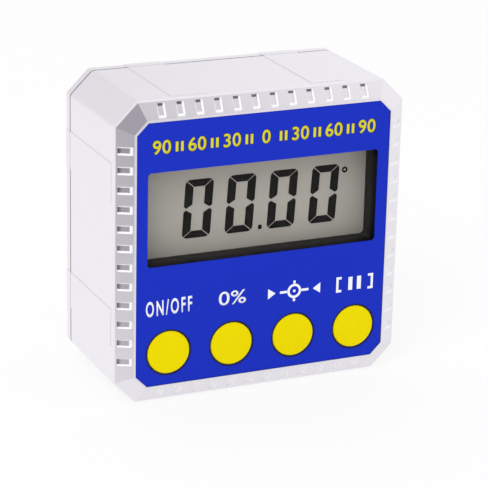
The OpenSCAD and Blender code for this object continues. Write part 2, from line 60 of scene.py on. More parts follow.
# How far bolder figures are spread, so that they don't run into one another
SPREAD = 3.2
# Degrees from one figure of the scale to the next, and figures on either side of its middle
SCALE_STEP = 30
SCALE_SIDE = 3

# Tints as amounts of light, for what has no colour setting of its own
SCREW_STEEL = (0.62, 0.63, 0.65)
MAGNET_PLATE = (0.7, 0.69, 0.66)
CELL_STEEL = (0.78, 0.78, 0.76)
SPRING_PLATE = (0.8, 0.77, 0.68)
SENSOR_CAN = (0.7, 0.7, 0.68)
SLEEVE_BLACK = (0.02, 0.02, 0.02)
SLEEVE_RED = (0.6, 0.02, 0.015)
# Painted shade and painted light on the display frame: darkest by the label, paler towards the glass
FRAME_PAINTED_SHADE = (0.002, 0.002, 0.002)
FRAME_PAINTED_LIGHT = (0.05, 0.048, 0.045)
LENS_TINT = (0.02, 0.02, 0.02, 1.0)
LACQUER = (0.015, 0.12, 0.045)
TRACKS = (0.05, 0.26, 0.09)
WHITE = (1, 1, 1, 1)
CARD_TINT = (1.0, 0.93, 1.06, 1)


# Settings


def colour(name, description, red, green, blue):
    """A colour setting, from the 8-bit values that a screen shows."""
    return FloatVectorProperty(
        name=name, description=description, subtype="COLOR", size=3, min=0, max=1,
        default=[screen_to_light(value) for value in (red, green, blue)],
    )


def screen_to_light(value):
    """Amount of light behind an 8-bit screen value."""
    share = value / 255
    return share / 12.92 if share <= 0.04045 else ((share + 0.055) / 1.055) ** 2.4


def length(name, description, millimetres):
    """A length setting, kept in metres."""
    return FloatProperty(
        name=name, description=description, default=millimetres * MM, precision=5,
        subtype="DISTANCE", unit="LENGTH",
    )


def amount(name, description, default):
    """A plain number setting."""
    return FloatProperty(name=name, description=description, default=default)


def angle(name, description, degrees):
    """An angle setting."""
    return FloatProperty(
        name=name, description=description, default=math.radians(degrees), subtype="ANGLE", unit="ROTATION"
    )


def spot(name, description, x, y, z):
    """A place setting, given in millimetres and kept in metres."""
    return FloatVectorProperty(
        name=name, description=description, default=(x * MM, y * MM, z * MM), precision=5, size=3,
        subtype="TRANSLATION", unit="LENGTH",
    )


def direction(name, description, x, y, z):
    """A direction setting."""
    return FloatVectorProperty(
        name=name, description=description, default=(x, y, z), size=3, subtype="DIRECTION"
    )


class ShellSettings(bpy.types.PropertyGroup):
    """Finish of the housing, the rear cover and the battery door."""

    tint: colour("Tint", "Colour of the satin paint", 237, 234, 240)
    gloss_roughness: amount("Roughness", "Roughness of the satin paint", 0.32)
    metal_share: amount("Metal share", "How metallic the paint looks", 0.85)
    pocket_reach: length("Pocket reach", "From the middle to the outer end of the bevel's pockets", 24.9)
    pocket_depth: length("Pocket depth", "Depth of the bevel at that end of the pockets", 1.59)
    bevel_lean: angle("Bevel lean", "Lean of the front bevel", 27.43)
    pocket_end: length("Pocket end", "From the middle of a side to just past its last pocket", 18.45)
    pocket_length: length("Pocket length", "Length of the pockets across the bevel", 2.3)
    # Wall top to Dark: the pale and matt colours are painted light and the dark colour is painted shade, in
    # the bevel's pockets and on the pads' front ends
    wall_top: length("Wall top", "Depth below the bevel from which a pocket's walls are painted", 0.03)
    ground_top: length("Ground top", "Depth below the bevel from which a pocket counts as ground", 0.28)
    ground_foot: length("Ground foot", "Depth below the bevel that no pocket reaches", 0.48)
    dark_start: length("Dark start", "From a left pocket's outer end to where dark paint thickens", 0.7)
    dark_full: length("Dark full", "From a left pocket's outer end to where dark paint is full", 0.1)
    dark_rest: amount("Dark thin", "Share of dark paint on the rest of a left pocket's ground", 0.4)
    dark_end: length("Dark end", "Length of the dark paint in an upper pocket's outer end", 0.4)
    pad_depth: length("Pad depth", "Depth of the front ends of the contact pads", 3.05)
    pad_rise: length("Pad rise", "Height of the pale paint on the front end of a pad", 0.09)
    pale: colour("Pale", "Colour of the pale paint in small corners", 249, 248, 250)
    matt: colour("Matt", "Colour of the matt paint on the ground of the right pockets", 243, 241, 246)
    dark: colour("Dark", "Colour of the dark ground of the left and upper pockets", 128, 123, 135)


class LabelSettings(bpy.types.PropertyGroup):
    """Label, its printed marks and the buttons in it."""

    film: colour("Film", "Colour of the label", 25, 48, 188)
    scale_ink: colour("Scale ink", "Ink of the printed scale", 222, 211, 52)
    edge_ink: colour("Edge ink", "Ink of the dark line round the scale's figures", 62, 62, 46)
    # Painted shade: a dark line on the label round each button's hole
    painted_ring_shade: colour("Ring ink", "Ink of the dark line round the buttons", 30, 34, 62)
    legend_ink: colour("Legend ink", "Ink of the marks above the buttons", 246, 247, 251)
    button: colour("Button", "Colour of the buttons", 238, 219, 0)
    ink_height: length("Ink height", "Thickness of the printed ink", 0.02)
    scale_rise: length("Scale rise", "Middle of the printed scale below the label's upper side", 4.2)
    scale_pitch: length("Scale pitch", "Spacing of the figures of the printed scale", 6.0)
    scale_bold: length("Scale weight", "How much bolder than the type the scale's figures are", 0.055)
    edge_w: length("Edge width", "Width of the dark line round the scale's figures", 0.075)
    figure_size: length("Figure size", "Type size of the scale's figures", 3.1)
    tick_w: length("Tick width", "Width of a tick of the scale", 0.34)
    tick_h: length("Tick height", "Height of a tick of the scale", 1.5)
    tick_gap: length("Tick spacing", "Spacing of the two ticks between two figures", 0.9)
    legend_rise: length("Legend rise", "Middle of the legends above the middle of the buttons", 7.75)
    power_size: length("Power size", "Type size of the first button's legend", 3.6)
    power_bold: length("Power weight", "How much bolder than the type that legend is", 0.07)
    power_squeeze: amount("Power squeeze", "Width of that legend's letters, as a share of the type's", 0.5)
    power_spacing: amount("Power spacing", "Spacing of that legend's letters, as a share of the type's", 1.28)
    power_turn: angle("Power turn", "Turn of that legend on the label", 1.2)
    unit_size: length("Unit size", "Type size of the second button's legend", 3.312)
    unit_bold: length("Unit weight", "How much bolder than the type that legend is", 0.021)
    unit_squeeze: amount("Unit squeeze", "Width of that legend's signs, as a share of the type's", 1.27)
    unit_lift: length("Unit lift", "How much higher than the other legends that one is", 0.15)
    stroke: length("Stroke", "Line width of the printed signs", 0.42)
    button_r: length("Button radius", "Radius of a button's face", 3.64)
    # Place and width of the painted shade round each button
    ring_gap: length("Ring gap", "From a button's side to the dark line round it", 0.17)
    ring_w: length("Ring width", "Width of the dark line round a button", 0.17)


class DisplaySettings(bpy.types.PropertyGroup):
    """Display glass and the digits on it."""

    glass: colour("Glass", "Colour of the display's ground", 183, 179, 170)
    segment: colour("Segment", "Colour of the lit segments", 30, 29, 28)
    digit_count: IntProperty(name="Digits", description="Number of digits", default=4)
    digit_w: length("Digit width", "Width of a digit", 4.95)
    digit_h: length("Digit height", "Height of a digit", 9.88)
    digit_pitch: length("Digit pitch", "Spacing of the digits", 7.53)
    digit_start: length("Digit start", "Left side of the first digit, from the window's middle", -12.6)
    digit_drop: length("Digit drop", "Middle of the digits below the window's middle", 0.335)
    bar_w: length("Bar width", "Width of an upright segment", 1.45)
    bar_h: length("Bar depth", "Width of a level segment", 1.2)
    bar_gap: length("Bar gap", "Gap between two segments", 0.14)
    waist_gap: length("Waist gap", "Gap between the upper and the lower half of a digit", 0.26)
    waist_tip: length("Waist tip", "From a digit's side to the points that its uprights end in", 0.42)
    waist_outer: amount("Outer slope", "Slope of an upright's end outside its point", 0.8)
    waist_inner: amount("Inner slope", "Slope of an upright's end inside its point", 0.62)
    corner_r: length("Corner radius", "Radius of a digit's outer corners", 0.9)
    bar_height: length("Bar height", "Thickness of a segment on the glass", 0.05)
    slant: angle("Slant", "Lean of the digits", 3.5)
    point_w: length("Point width", "Width of the decimal point", 0.65)
    point_h: length("Point height", "Height of the decimal point", 0.75)
    point_r: length("Point radius", "Radius of the decimal point's corners", 0.12)
    point_x: length("Point place", "Middle of the decimal point, from the window's middle", 1.28)
    point_y: length("Point rise", "Middle of the decimal point above the digits' foot", 0.5)
    degree_r: length("Degree radius", "Outer radius of the degree sign", 0.52)
    degree_w: length("Degree width", "Line width of the degree sign", 0.3)
    degree_x: length("Degree place", "Middle of the degree sign, from the window's middle", 16.5)
    degree_y: length("Degree rise", "Middle of the degree sign above the digits' foot", 8.75)
    # Where the painted light on the display frame starts
    frame_start: amount("Frame start", "Share of the window's depth at which its frame gets paler", 0.3)


class StageSettings(bpy.types.PropertyGroup):
    """Floor, light and camera."""

    floor: colour("Floor", "Colour of the floor", 250, 250, 250)
    floor_glow: amount("Floor glow", "How far the floor is seen as plain white", 0.8)
    ambient: amount("Ambient", "Strength of the light from all round", 0.86)
    key_power: amount("Key power", "Power of the soft key lamp in watts", 3.2)
    key_size: length("Key size", "Width of the key lamp", 600)
    key_place: spot("Key place", "Place of the key lamp", -550, -500, 750)
    key_aim: spot("Key aim", "Point that the key lamp shines at", 0, 0, 20)
    flag_r: length("Flag radius", "Radius of the sphere that carries the grey cards", 200)
    flag_z: length("Flag height", "Height of the middle of that sphere", 25.5)
    card_glow: amount("Card glow", "Brightness of the grey cards", 0.27)
    front_near: angle("Front card", "Half angle of the front card where it is full", 28.5)
    front_far: angle("Front card's edge", "Half angle of the front card where it ends", 55)
    back_axis: direction("Back axis", "Direction of the back card", -0.2, 0.86, 0.47)
    back_near: angle("Back card", "Half angle of the back card where it is full", 10)
    back_far: angle("Back card's edge", "Half angle of the back card where it ends", 48)
    back_clear: amount("Back clearness", "How much light the back card lets through", 0.745)
    low_axis: direction("Low axis", "Direction of the low card", 0.45, -0.4, -0.8)
    low_near: angle("Low card", "Half angle of the low card where it is full", 25)
    low_far: angle("Low card's edge", "Half angle of the low card where it ends", 70)
    low_clear: amount("Low clearness", "How much light the low card lets through", 0.86)
    target: spot("Target", "Point that the camera looks at", 1.585, -2.118, 21.577)
    azimuth: angle("Azimuth", "Turn of the view to the left of the front", 24.315)
    elevation: angle("Elevation", "Height of the view above the horizon", 18.998)
    roll: angle("Roll", "Lean of the camera", 1.328)
    distance: length("Distance", "From the camera to the point that it looks at", 374.4)
    focal_length: amount("Focal length", "Focal length of the camera in millimetres", 164.69)


# Shader maths


class Value:
    """A node's socket that takes part in Python arithmetic."""

    def __init__(self, finish, socket):
        self.finish = finish
        self.socket = socket

    def combined(self, operation, first, second):
        """Result of a Math node."""
        return self.finish.add("ShaderNodeMath", {"operation": operation}, {0: first, 1: second})

    def __add__(self, other):
        return self.combined("ADD", self, other)

    def __radd__(self, other):
        return self.combined("ADD", other, self)

    def __sub__(self, other):
        return self.combined("SUBTRACT", self, other)

    def __rsub__(self, other):
        return self.combined("SUBTRACT", other, self)

    def __mul__(self, other):
        return self.combined("MULTIPLY", self, other)

    def __rmul__(self, other):
        return self.combined("MULTIPLY", other, self)


class Finish:
    """Node tree of a material or of the world."""

    def __init__(self, owner):
        owner.use_nodes = True
        self.owner = owner
        self.tree = owner.node_tree
        self.tree.nodes.clear()

    def add(self, kind, settings=None, inputs=None, output=0):
        """Adds a node: its settings first, then its inputs. Gives one of its outputs."""
        node = self.tree.nodes.new(kind)
        for name, value in (settings or {}).items():
            setattr(node, name, value)
        for name, value in (inputs or {}).items():
            if isinstance(value, Value):
                self.tree.links.new(value.socket, node.inputs[name])
            else:
                node.inputs[name].default_value = value
        return Value(self, node.outputs[output]) if node.outputs else None

    def place(self):
        """The point on the piece, in metres."""
        return self.add("ShaderNodeTexCoord", output="Object")

    def grain(self, size, stretch=None):
        """Noise from 0 to 1 with spots of about that size in metres."""
        where = self.place()
        if stretch:
            where = self.add("ShaderNodeMapping", inputs={"Vector": where, "Scale": stretch})
        return self.add(
            "ShaderNodeTexNoise", inputs={"Vector": where, "Scale": 1 / size, "Detail": 2.0}, output="Fac"
        )

    def blend(self, share, first, second):
        """Mix of two colours."""
        return self.add(
            "ShaderNodeMix", {"data_type": "RGBA"}, {0: share, 6: opaque(first), 7: opaque(second)}, output=2
        )

    def mottle(self, share, tint, darkest, brightest=1.0):
        """A tint that goes from a darker to a brighter share of itself."""
        return self.blend(share, scaled(tint, darkest), scaled(tint, brightest))

    def within(self, value, low, high):
        """1 where a value lies between two bounds, 0 elsewhere."""
        return self.add(
            "ShaderNodeMath", {"operation": "COMPARE"}, {0: value, 1: (low + high) / 2, 2: (high - low) / 2}
        )

    def relief(self, height, depth, strength):
        """Normal of a fine relief of that depth in metres."""
        return self.add("ShaderNodeBump", inputs={"Strength": strength, "Distance": depth, "Height": height})

    def surface(self, inputs):
        """Ends a material with its surface shader."""
        shader = self.add("ShaderNodeBsdfPrincipled", inputs=inputs)
        self.add("ShaderNodeOutputMaterial", inputs={"Surface": shader})
        return self.owner


def opaque(value):
    """A plain colour with its alpha; links pass unchanged."""
    return value if isinstance(value, Value) else (*value[:3], 1.0)


def scaled(value, share):
    """A plain colour, brighter or darker."""
    return [min(1.0, part * share) for part in value]


def between(share, low, high):
    """A value that goes from low to high as a share goes from 0 to 1."""
    return low + (high - low) * share


def new_finish(name):
    """Empty material of that name."""
    return Finish(bpy.data.materials.new(name))


# Finishes


def painted_pocket_shading(finish, settings):
    """Shares of painted light and painted shade in the shell's small corners.

    Painted light in a pale colour, without metal, covers the walls of the bevel's pockets, the ground of the
    lower pockets and the front ends of the contact pads. Painted light in a matt colour, without metal,
    covers the ground of the right pockets. Painted shade lies on the ground of the left pockets, more of it
    towards their outer ends, and in the outer ends of the upper pockets.
    """
    low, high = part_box("housing")
    point = finish.place()
    x, y, z = [finish.add("ShaderNodeSeparateXYZ", inputs={0: point}, output=axis) for axis in range(3)]
    rise = z - (low.z + high.z) / 2
    across = finish.add("ShaderNodeMath", {"operation": "ABSOLUTE"}, {0: x})
    along = finish.add("ShaderNodeMath", {"operation": "ABSOLUTE"}, {0: rise})
    outmost = finish.add("ShaderNodeMath", {"operation": "MAXIMUM"}, {0: across, 1: along})
    aside = finish.add("ShaderNodeMath", {"operation": "MINIMUM"}, {0: across, 1: along})

    # Place in the bevel: how far it is from the pockets' outer end and how far below the bevel's face
    out = outmost - settings.pocket_reach
    depth = y - (low.y + settings.pocket_depth)
    level = math.cos(settings.bevel_lean)
    steep = math.sin(settings.bevel_lean)
    from_end = level * out + steep * depth
    below = level * depth - steep * out
    in_length = finish.within(from_end, -settings.pocket_length, WALL)
    in_row = in_length * finish.within(aside, 0, settings.pocket_end)
    walls = in_row * finish.within(below, settings.wall_top, settings.ground_top)
    ground = in_row * finish.within(below, settings.ground_top, settings.ground_foot)

    # The four sides
    lower = finish.within(rise + across, -FAR, 0)
    upper = finish.within(rise - across, 0, FAR)
    right = finish.within(x - rise, 0, FAR) - lower
    left = 1 - right - lower - upper

    pad_y = low.y + settings.pad_depth
    pad_plane = finish.within(y, pad_y - WALL, pad_y + WALL)
    pad_end = pad_plane * finish.within(outmost, high.x - settings.pad_rise, high.x)
    # Painted shade on the left pockets' ground, darker towards their outer ends
    shade_ramp = finish.add("ShaderNodeMapRange", inputs={
        "Value": from_end, "From Min": -settings.dark_start, "From Max": -settings.dark_full,
        "To Min": settings.dark_rest,
    })
    at_end = finish.within(from_end, -settings.dark_end, WALL)
    # pale and matt are painted light, dark is painted shade
    pale = walls + lower * ground + pad_end
    matt = right * ground
    dark = ground * (left * shade_ramp + upper * at_end)
    return pale, matt, dark


def satin_paint_with_painted_shading(settings):
    """Silver-white satin paint with a fine orange peel, and painted light and painted shade in the bevel's
    pockets and on the pads' front ends.
    """
    finish = new_finish("satin_paint_with_painted_shading")
    cloud = finish.grain(size=9 * MM)
    peel = finish.grain(size=0.35 * MM)
    # Painted light (pale, matt) and painted shade (dark) in the pockets and on the pads' front ends
    pale, matt, dark = painted_pocket_shading(finish, settings)
    satin = finish.mottle(cloud, settings.tint, darkest=0.985, brightest=1.015)
    light = finish.blend(pale, satin, settings.pale)
    unevenness = between(cloud, low=-0.05, high=0.01) + between(peel, low=0, high=0.04)
    return finish.surface({
        "Base Color": finish.blend(dark, finish.blend(matt, light, settings.matt), settings.dark),
        "Metallic": settings.metal_share * (1 - pale - matt),
        "Roughness": settings.gloss_roughness + unevenness,
        "Normal": finish.relief(peel, depth=0.004 * MM, strength=0.5),
    })


def label_film(settings):
    """Blue film with a faint grain."""
    finish = new_finish("label_film")
    cloud = finish.grain(size=14 * MM)
    tooth = finish.grain(size=0.2 * MM)
    return finish.surface({
        "Base Color": finish.mottle(cloud, settings.film, darkest=0.97, brightest=1.03),
        "Roughness": between(tooth, low=0.4, high=0.5),
        "Specular IOR Level": 0.06,
        "Normal": finish.relief(tooth, depth=0.002 * MM, strength=0.4),
    })


def ink(name, tint):
    """Screen-printed ink that covers a little unevenly."""
    finish = new_finish(name)
    speck = finish.grain(size=0.15 * MM)
    return finish.surface({
        "Base Color": finish.mottle(speck, tint, darkest=0.95),
        "Roughness": between(speck, low=0.45, high=0.55),
        "Specular IOR Level": 0.12,
    })


def moulded_yellow(settings):
    """Satin moulded plastic of the buttons."""
    finish = new_finish("moulded_yellow")
    cloud = finish.grain(size=5 * MM)
    spark = finish.grain(size=0.12 * MM)
    return finish.surface({
        "Base Color": finish.mottle(cloud, settings.button, darkest=0.975),
        "Roughness": between(spark, low=0.42, high=0.54),
        "Specular IOR Level": 0.04,
        "Normal": finish.relief(spark, depth=0.003 * MM, strength=0.5),
    })


def moulded_dark(name, level, roughness):
    """Dark moulded plastic with a spark-eroded texture."""
    finish = new_finish(name)
    spark = finish.grain(size=0.1 * MM)
    cloud = finish.grain(size=4 * MM)
    return finish.surface({
        "Base Color": finish.mottle(cloud, (level, level, level), darkest=0.8, brightest=1.2),
        "Roughness": roughness + between(spark, low=0, high=0.15),
        "Specular IOR Level": 0.2,
        "Normal": finish.relief(spark, depth=0.005 * MM, strength=0.6),
    })


def frame_black(low, high):
    """Black moulding of the display frame, with painted shade by the label and painted light that makes it
    paler with the depth between two places.
    """
    finish = new_finish("frame_black")
    spark = finish.grain(size=0.1 * MM)
    depth = finish.add("ShaderNodeSeparateXYZ", inputs={0: finish.place()}, output=1)
    share = finish.add("ShaderNodeMapRange", inputs={"Value": depth, "From Min": low, "From Max": high})
    return finish.surface({
        # Painted shade by the label, painted light towards the glass
        "Base Color": finish.blend(share, FRAME_PAINTED_SHADE, FRAME_PAINTED_LIGHT),
        "Roughness": between(spark, low=0.5, high=0.65),
        "Specular IOR Level": 0.15,
        "Normal": finish.relief(spark, depth=0.005 * MM, strength=0.6),
    })


def clear_lens():
    """Clear sheet with a faint smear on its polish."""
    finish = new_finish("clear_lens")
    smear = finish.grain(size=6 * MM, stretch=(1, 1, 3))
    return finish.surface({
        "Base Color": LENS_TINT,
        "Roughness": between(smear, low=0.04, high=0.12),
        "Specular IOR Level": 0.2,
        "Alpha": between(smear, low=0.02, high=0.04),
    })


def display_ground(settings):
    """Grey reflective ground of the display, with the fine sheen of its polariser."""
    finish = new_finish("display_ground")
    fibre = finish.grain(size=0.12 * MM, stretch=(1, 1, 0.2))
    cloud = finish.grain(size=12 * MM)
    return finish.surface({
        "Base Color": finish.mottle(cloud, settings.glass, darkest=0.96, brightest=1.04),
        "Roughness": between(fibre, low=0.4, high=0.5),
        "Specular IOR Level": 0.2,
        "Normal": finish.relief(fibre, depth=0.002 * MM, strength=0.4),
    })


def lit_segment(settings):
    """Dark lit segments."""
    finish = new_finish("lit_segment")
    cloud = finish.grain(size=2 * MM)
    return finish.surface({
        "Base Color": finish.mottle(cloud, settings.segment, darkest=0.85, brightest=1.15),
        "Roughness": between(cloud, low=0.5, high=0.6),
        "Specular IOR Level": 0.1,
    })


def bright_metal(name, tint, grain_size, roughness):
    """Plated or rolled metal with a fine grain."""
    finish = new_finish(name)
    grain = finish.grain(grain_size, stretch=(1, 4, 1))
    cloud = finish.grain(size=3 * MM)
    return finish.surface({
        "Base Color": finish.mottle(cloud, tint, darkest=0.9),
        "Metallic": 1.0,
        "Roughness": roughness + between(grain, low=0, high=0.15),
        "Normal": finish.relief(grain, depth=0.003 * MM, strength=0.5),
    })


def lacquered_board():
    """Green lacquer over fine copper tracks."""
    finish = new_finish("lacquered_board")
    tracks = finish.add(
        "ShaderNodeTexBrick", {"offset": 0.5},
        {"Vector": finish.place(), "Scale": 420.0, "Mortar Size": 0.06}, output="Fac",
    )
    return finish.surface({
        "Base Color": finish.blend(tracks, LACQUER, TRACKS),
        "Roughness": between(tracks, low=0.3, high=0.4),
    })


def coloured_sleeve(name, tint):
    """Soft plastic sleeve of a wire."""
    finish = new_finish(name)
    cloud = finish.grain(size=1.5 * MM)
    return finish.surface({
        "Base Color": finish.mottle(cloud, tint, darkest=0.85),
        "Roughness": between(cloud, low=0.4, high=0.5),
    })


def paint(material, *nodes):
    """Gives CAD nodes a material."""
    for name in nodes:
        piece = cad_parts[name]
        if not piece.material_slots:
            piece.data.materials.append(material)
        for slot in piece.material_slots:
            slot.material = material


# Modelling by hand


def deselect():
    """Clears the selection in object mode."""
    if bpy.context.mode != "OBJECT":
        bpy.ops.object.mode_set(mode="OBJECT")
    bpy.ops.object.select_all(action="DESELECT")


def apply_place(piece):
    """Moves a piece's place, turn and size into its mesh."""
    deselect()
    piece.select_set(True)
    bpy.context.view_layer.objects.active = piece
    bpy.ops.object.transform_apply(location=True, rotation=True, scale=True)


def edit(piece, test):
    """Opens a piece in edit mode with the vertices selected that pass a test."""
    deselect()
    piece.select_set(True)
    bpy.context.view_layer.objects.active = piece
    bpy.ops.object.mode_set(mode="EDIT")
    bpy.ops.mesh.select_mode(type="VERT")
    mesh = bmesh.from_edit_mesh(piece.data)
    for vertex in mesh.verts:
        vertex.select_set(test(vertex.co))
    mesh.select_flush_mode()
    bmesh.update_edit_mesh(piece.data)


def close_edit():
    """Leaves edit mode."""
    bpy.ops.object.mode_set(mode="OBJECT")


def everywhere(_point):
    """Selects every vertex."""
    return True


def flat_plate(name, width, height, x, y):
    """Flat rectangle about a point, drawn in the plane of the floor."""
    deselect()
    bpy.ops.mesh.primitive_plane_add(size=1, location=(x, y, 0))
    piece = bpy.context.object
    piece.name = name
    piece.scale = (width, height, 1)
    apply_place(piece)
    return piece


def move_corner(piece, x, y, by):
    """Moves the corner nearest to a point."""
    goal = Vector((x, y, 0))
    corners = [vertex.co.copy() for vertex in piece.data.vertices]
    nearest = min(corners, key=lambda co: (co - goal).length)
    edit(piece, lambda co: (co - nearest).length < SAME_CORNER)
    bpy.ops.transform.translate(value=(*by, 0))
    close_edit()


def thicken(piece, height):
    """Raises a flat piece to a plate of that height."""
    edit(piece, everywhere)
    bpy.ops.mesh.extrude_region_move(TRANSFORM_OT_translate={"value": (0, 0, height)})
    bpy.ops.mesh.select_all(action="SELECT")
    bpy.ops.mesh.normals_make_consistent(inside=False)
    close_edit()


def join(name, pieces):
    """One object from several."""
    deselect()
    for piece in pieces:
        piece.select_set(True)
    bpy.context.view_layer.objects.active = pieces[0]
    bpy.ops.object.join()
    pieces[0].name = name
    return pieces[0]


def copy_of(piece, name, x):
    """Copy of a piece with its own mesh, moved to the right."""
    deselect()
    piece.select_set(True)
    bpy.context.view_layer.objects.active = piece
    bpy.ops.object.duplicate()
    twin = bpy.context.object
    twin.name = name
    twin.location.x += x
    apply_place(twin)
    return twin


def stand_up(piece, y, z):
    """Turns a piece drawn in the floor's plane up to the front view, at that depth and height."""
    piece.rotation_euler = (math.pi / 2, 0, 0)
    piece.location = (piece.location.x, y, z)
    apply_place(piece)


def ring(name, radius, width, x, y):
    """Flat ring about a point."""
    deselect()
    bpy.ops.mesh.primitive_circle_add(vertices=48, radius=radius, fill_type="NGON", location=(x, y, 0))
    piece = bpy.context.object
    piece.name = name
    apply_place(piece)
    edit(piece, everywhere)
    bpy.ops.mesh.inset(thickness=width)
    bpy.ops.mesh.delete(type="FACE")
    close_edit()
    return piece


def words(name, body, size, weight, x, y, squeeze=1.0, spacing=1.0, turn=0.0):
    """Flat figures or letters about a point, bolder by weight, with other widths and spacing on request."""
    deselect()
    bpy.ops.object.text_add(location=(0, 0, 0))
    piece = bpy.context.object
    piece.name = name
    text = piece.data
    text.body = body
    text.size = size
    text.align_x = "CENTER"
    text.align_y = "CENTER"
    text.offset = weight
    text.space_character = spacing + SPREAD * weight / size
    text.resolution_u = 6
    bpy.ops.object.convert(target="MESH")
    piece = bpy.context.object
    piece.scale = (squeeze, 1, 1)
    piece.rotation_euler.z = turn
    piece.location = (x, y, 0)
    apply_place(piece)
    return piece


def carried(piece, material):
    """Finishes a new piece of the case: its material and the body that carries it."""
    piece.data.materials.clear()
    piece.data.materials.append(material)
    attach(piece, CASE)


# Display digits


def cut(piece, tool, height):
    """Cuts a flat tool, made taller than the plate, out of a plate and throws the tool away."""
    thicken(tool, 3 * height)
    tool.location.z = -height
    apply_place(tool)
    deselect()
    piece.select_set(True)
    bpy.context.view_layer.objects.active = piece
    modifier = piece.modifiers.new("cut", "BOOLEAN")
    modifier.operation = "DIFFERENCE"
    modifier.solver = "EXACT"
    modifier.object = tool
    bpy.ops.object.modifier_apply(modifier=modifier.name)
    bpy.data.objects.remove(tool)


def nought(settings):
    """The six lit segments of a nought, with its lower left corner at the origin."""
    width = settings.digit_w
    height = settings.digit_h
    bar_w = settings.bar_w
    bar_h = settings.bar_h
    middle = (width / 2, height / 2)
    digit = flat_plate("lcd_digit_1", width, height, *middle)
    round_corners(digit, settings.corner_r)
    thicken(digit, settings.bar_height)
    cut(digit, flat_plate("hole", width - 2 * bar_w, height - 2 * bar_h, *middle), settings.bar_height)
    for x_side in (-1, 1):
        for y_side in (-1, 1):
            # Gap along the mitre between a level and an upright segment
            slit = flat_plate("slit", 3 * bar_w, settings.bar_gap, 0, 0)
            slit.rotation_euler.z = x_side * y_side * math.atan2(bar_h, bar_w)
            slit.location.x = middle[0] + x_side * (width - bar_w) / 2
            slit.location.y = middle[1] + y_side * (height - bar_h) / 2
            apply_place(slit)
            cut(digit, slit, settings.bar_height)
        # Gap between the two uprights of a side, which end in points
        tip = middle[0] + x_side * (width / 2 - settings.waist_tip)
        outer = (x_side, bar_w + settings.waist_tip, settings.waist_outer)
        inner = (-x_side, 2 * bar_w - settings.waist_tip, settings.waist_inner)
        for away, reach, slope in (outer, inner):
            waist = flat_plate("waist", reach, settings.waist_gap, tip + away * reach / 2, middle[1])
            for y_side in (-1, 1):
                corner_y = middle[1] + y_side * settings.waist_gap / 2
                move_corner(waist, tip + away * reach, corner_y, (0, y_side * slope * reach))
            cut(digit, waist, settings.bar_height)
    return digit


def round_corners(piece, radius):
    """Rounds the corners of a flat piece."""
    edit(piece, everywhere)
    bpy.ops.mesh.bevel(offset=radius, offset_type="OFFSET", segments=6, affect="VERTICES")
    close_edit()


def build_digits(settings):
    """All digits, the point and the degree sign, standing on the display glass."""
    glass_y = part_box("lcd_panel")[0].y
    low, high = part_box("window_lens")
    base_z = (low.z + high.z) / 2 - settings.digit_drop - settings.digit_h / 2
    digit = nought(settings)
    lean = Matrix.Identity(4)
    lean[0][1] = math.tan(settings.slant)
    digit.data.transform(lean)
    digit.location.x = settings.digit_start
    apply_place(digit)
    made = [digit]
    for index in range(1, settings.digit_count):
        made.append(copy_of(digit, f"lcd_digit_{index + 1}", index * settings.digit_pitch))
    point = flat_plate("lcd_point", settings.point_w, settings.point_h, settings.point_x, settings.point_y)
    round_corners(point, settings.point_r)
    degree = ring("lcd_degree", settings.degree_r, settings.degree_w, settings.degree_x, settings.degree_y)
    for piece in (point, degree):
        thicken(piece, settings.bar_height)
        made.append(piece)
    for piece in made:
        stand_up(piece, glass_y, base_z)
    return made


# Printed marks


def scale_marks(settings, weight):
    """Figures and ticks of the angle scale, drawn flat about the origin."""
    tick_w = settings.tick_w + 2 * weight
    tick_h = settings.tick_h + 2 * weight
    pieces = []
    for place in range(-SCALE_SIDE, SCALE_SIDE + 1):
        x = place * settings.scale_pitch
        figure = str(abs(place) * SCALE_STEP)
        pieces.append(words("figure", figure, settings.figure_size, weight, x, 0))
        if place < SCALE_SIDE:
            for side in (-1, 1):
                tick_x = x + settings.scale_pitch / 2 + side * settings.tick_gap / 2
                pieces.append(flat_plate("tick", tick_w, tick_h, tick_x, 0))
    return pieces


def build_scale(settings):
    """The angle scale along the top of the label: figures on a slightly wider dark edge."""
    low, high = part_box("front_label")
    z = high.z - settings.scale_rise
    edge = join("scale_edge", scale_marks(settings, settings.scale_bold + settings.edge_w))
    face = join("scale_figures", scale_marks(settings, settings.scale_bold))
    thicken(edge, settings.ink_height / 2)
    thicken(face, settings.ink_height)
    for piece in (edge, face):
        stand_up(piece, low.y, z)
    return edge, face


def target_sign(settings, x):
    """Ring with a cross and two pointers, for setting the zero."""
    stroke = settings.stroke
    ring_r = 1.25 * MM
    arm_w = 1.3 * MM
    arm_x = 1.95 * MM
    stub_h = 0.5 * MM
    stub_y = 1.55 * MM
    pointer_w = 1.3 * MM
    pointer_h = 1.8 * MM
    pointer_x = 4.1 * MM
    pointer_taper = 0.86 * MM
    pieces = [ring("ring", ring_r, stroke, x, 0)]
    for side in (-1, 1):
        pieces.append(flat_plate("stroke", arm_w, stroke, x + side * arm_x, 0))
        pieces.append(flat_plate("stroke", stroke, stub_h, x, side * stub_y))
        pointer = flat_plate("pointer", pointer_w, pointer_h, x + side * pointer_x, 0)
        tip_x = x + side * (pointer_x - pointer_w / 2)
        for end in (-1, 1):
            move_corner(pointer, tip_x, end * pointer_h / 2, (0, -end * pointer_taper))
        pieces.append(pointer)
    pieces.append(flat_plate("dot", stroke, stroke, x, 0))
    return pieces


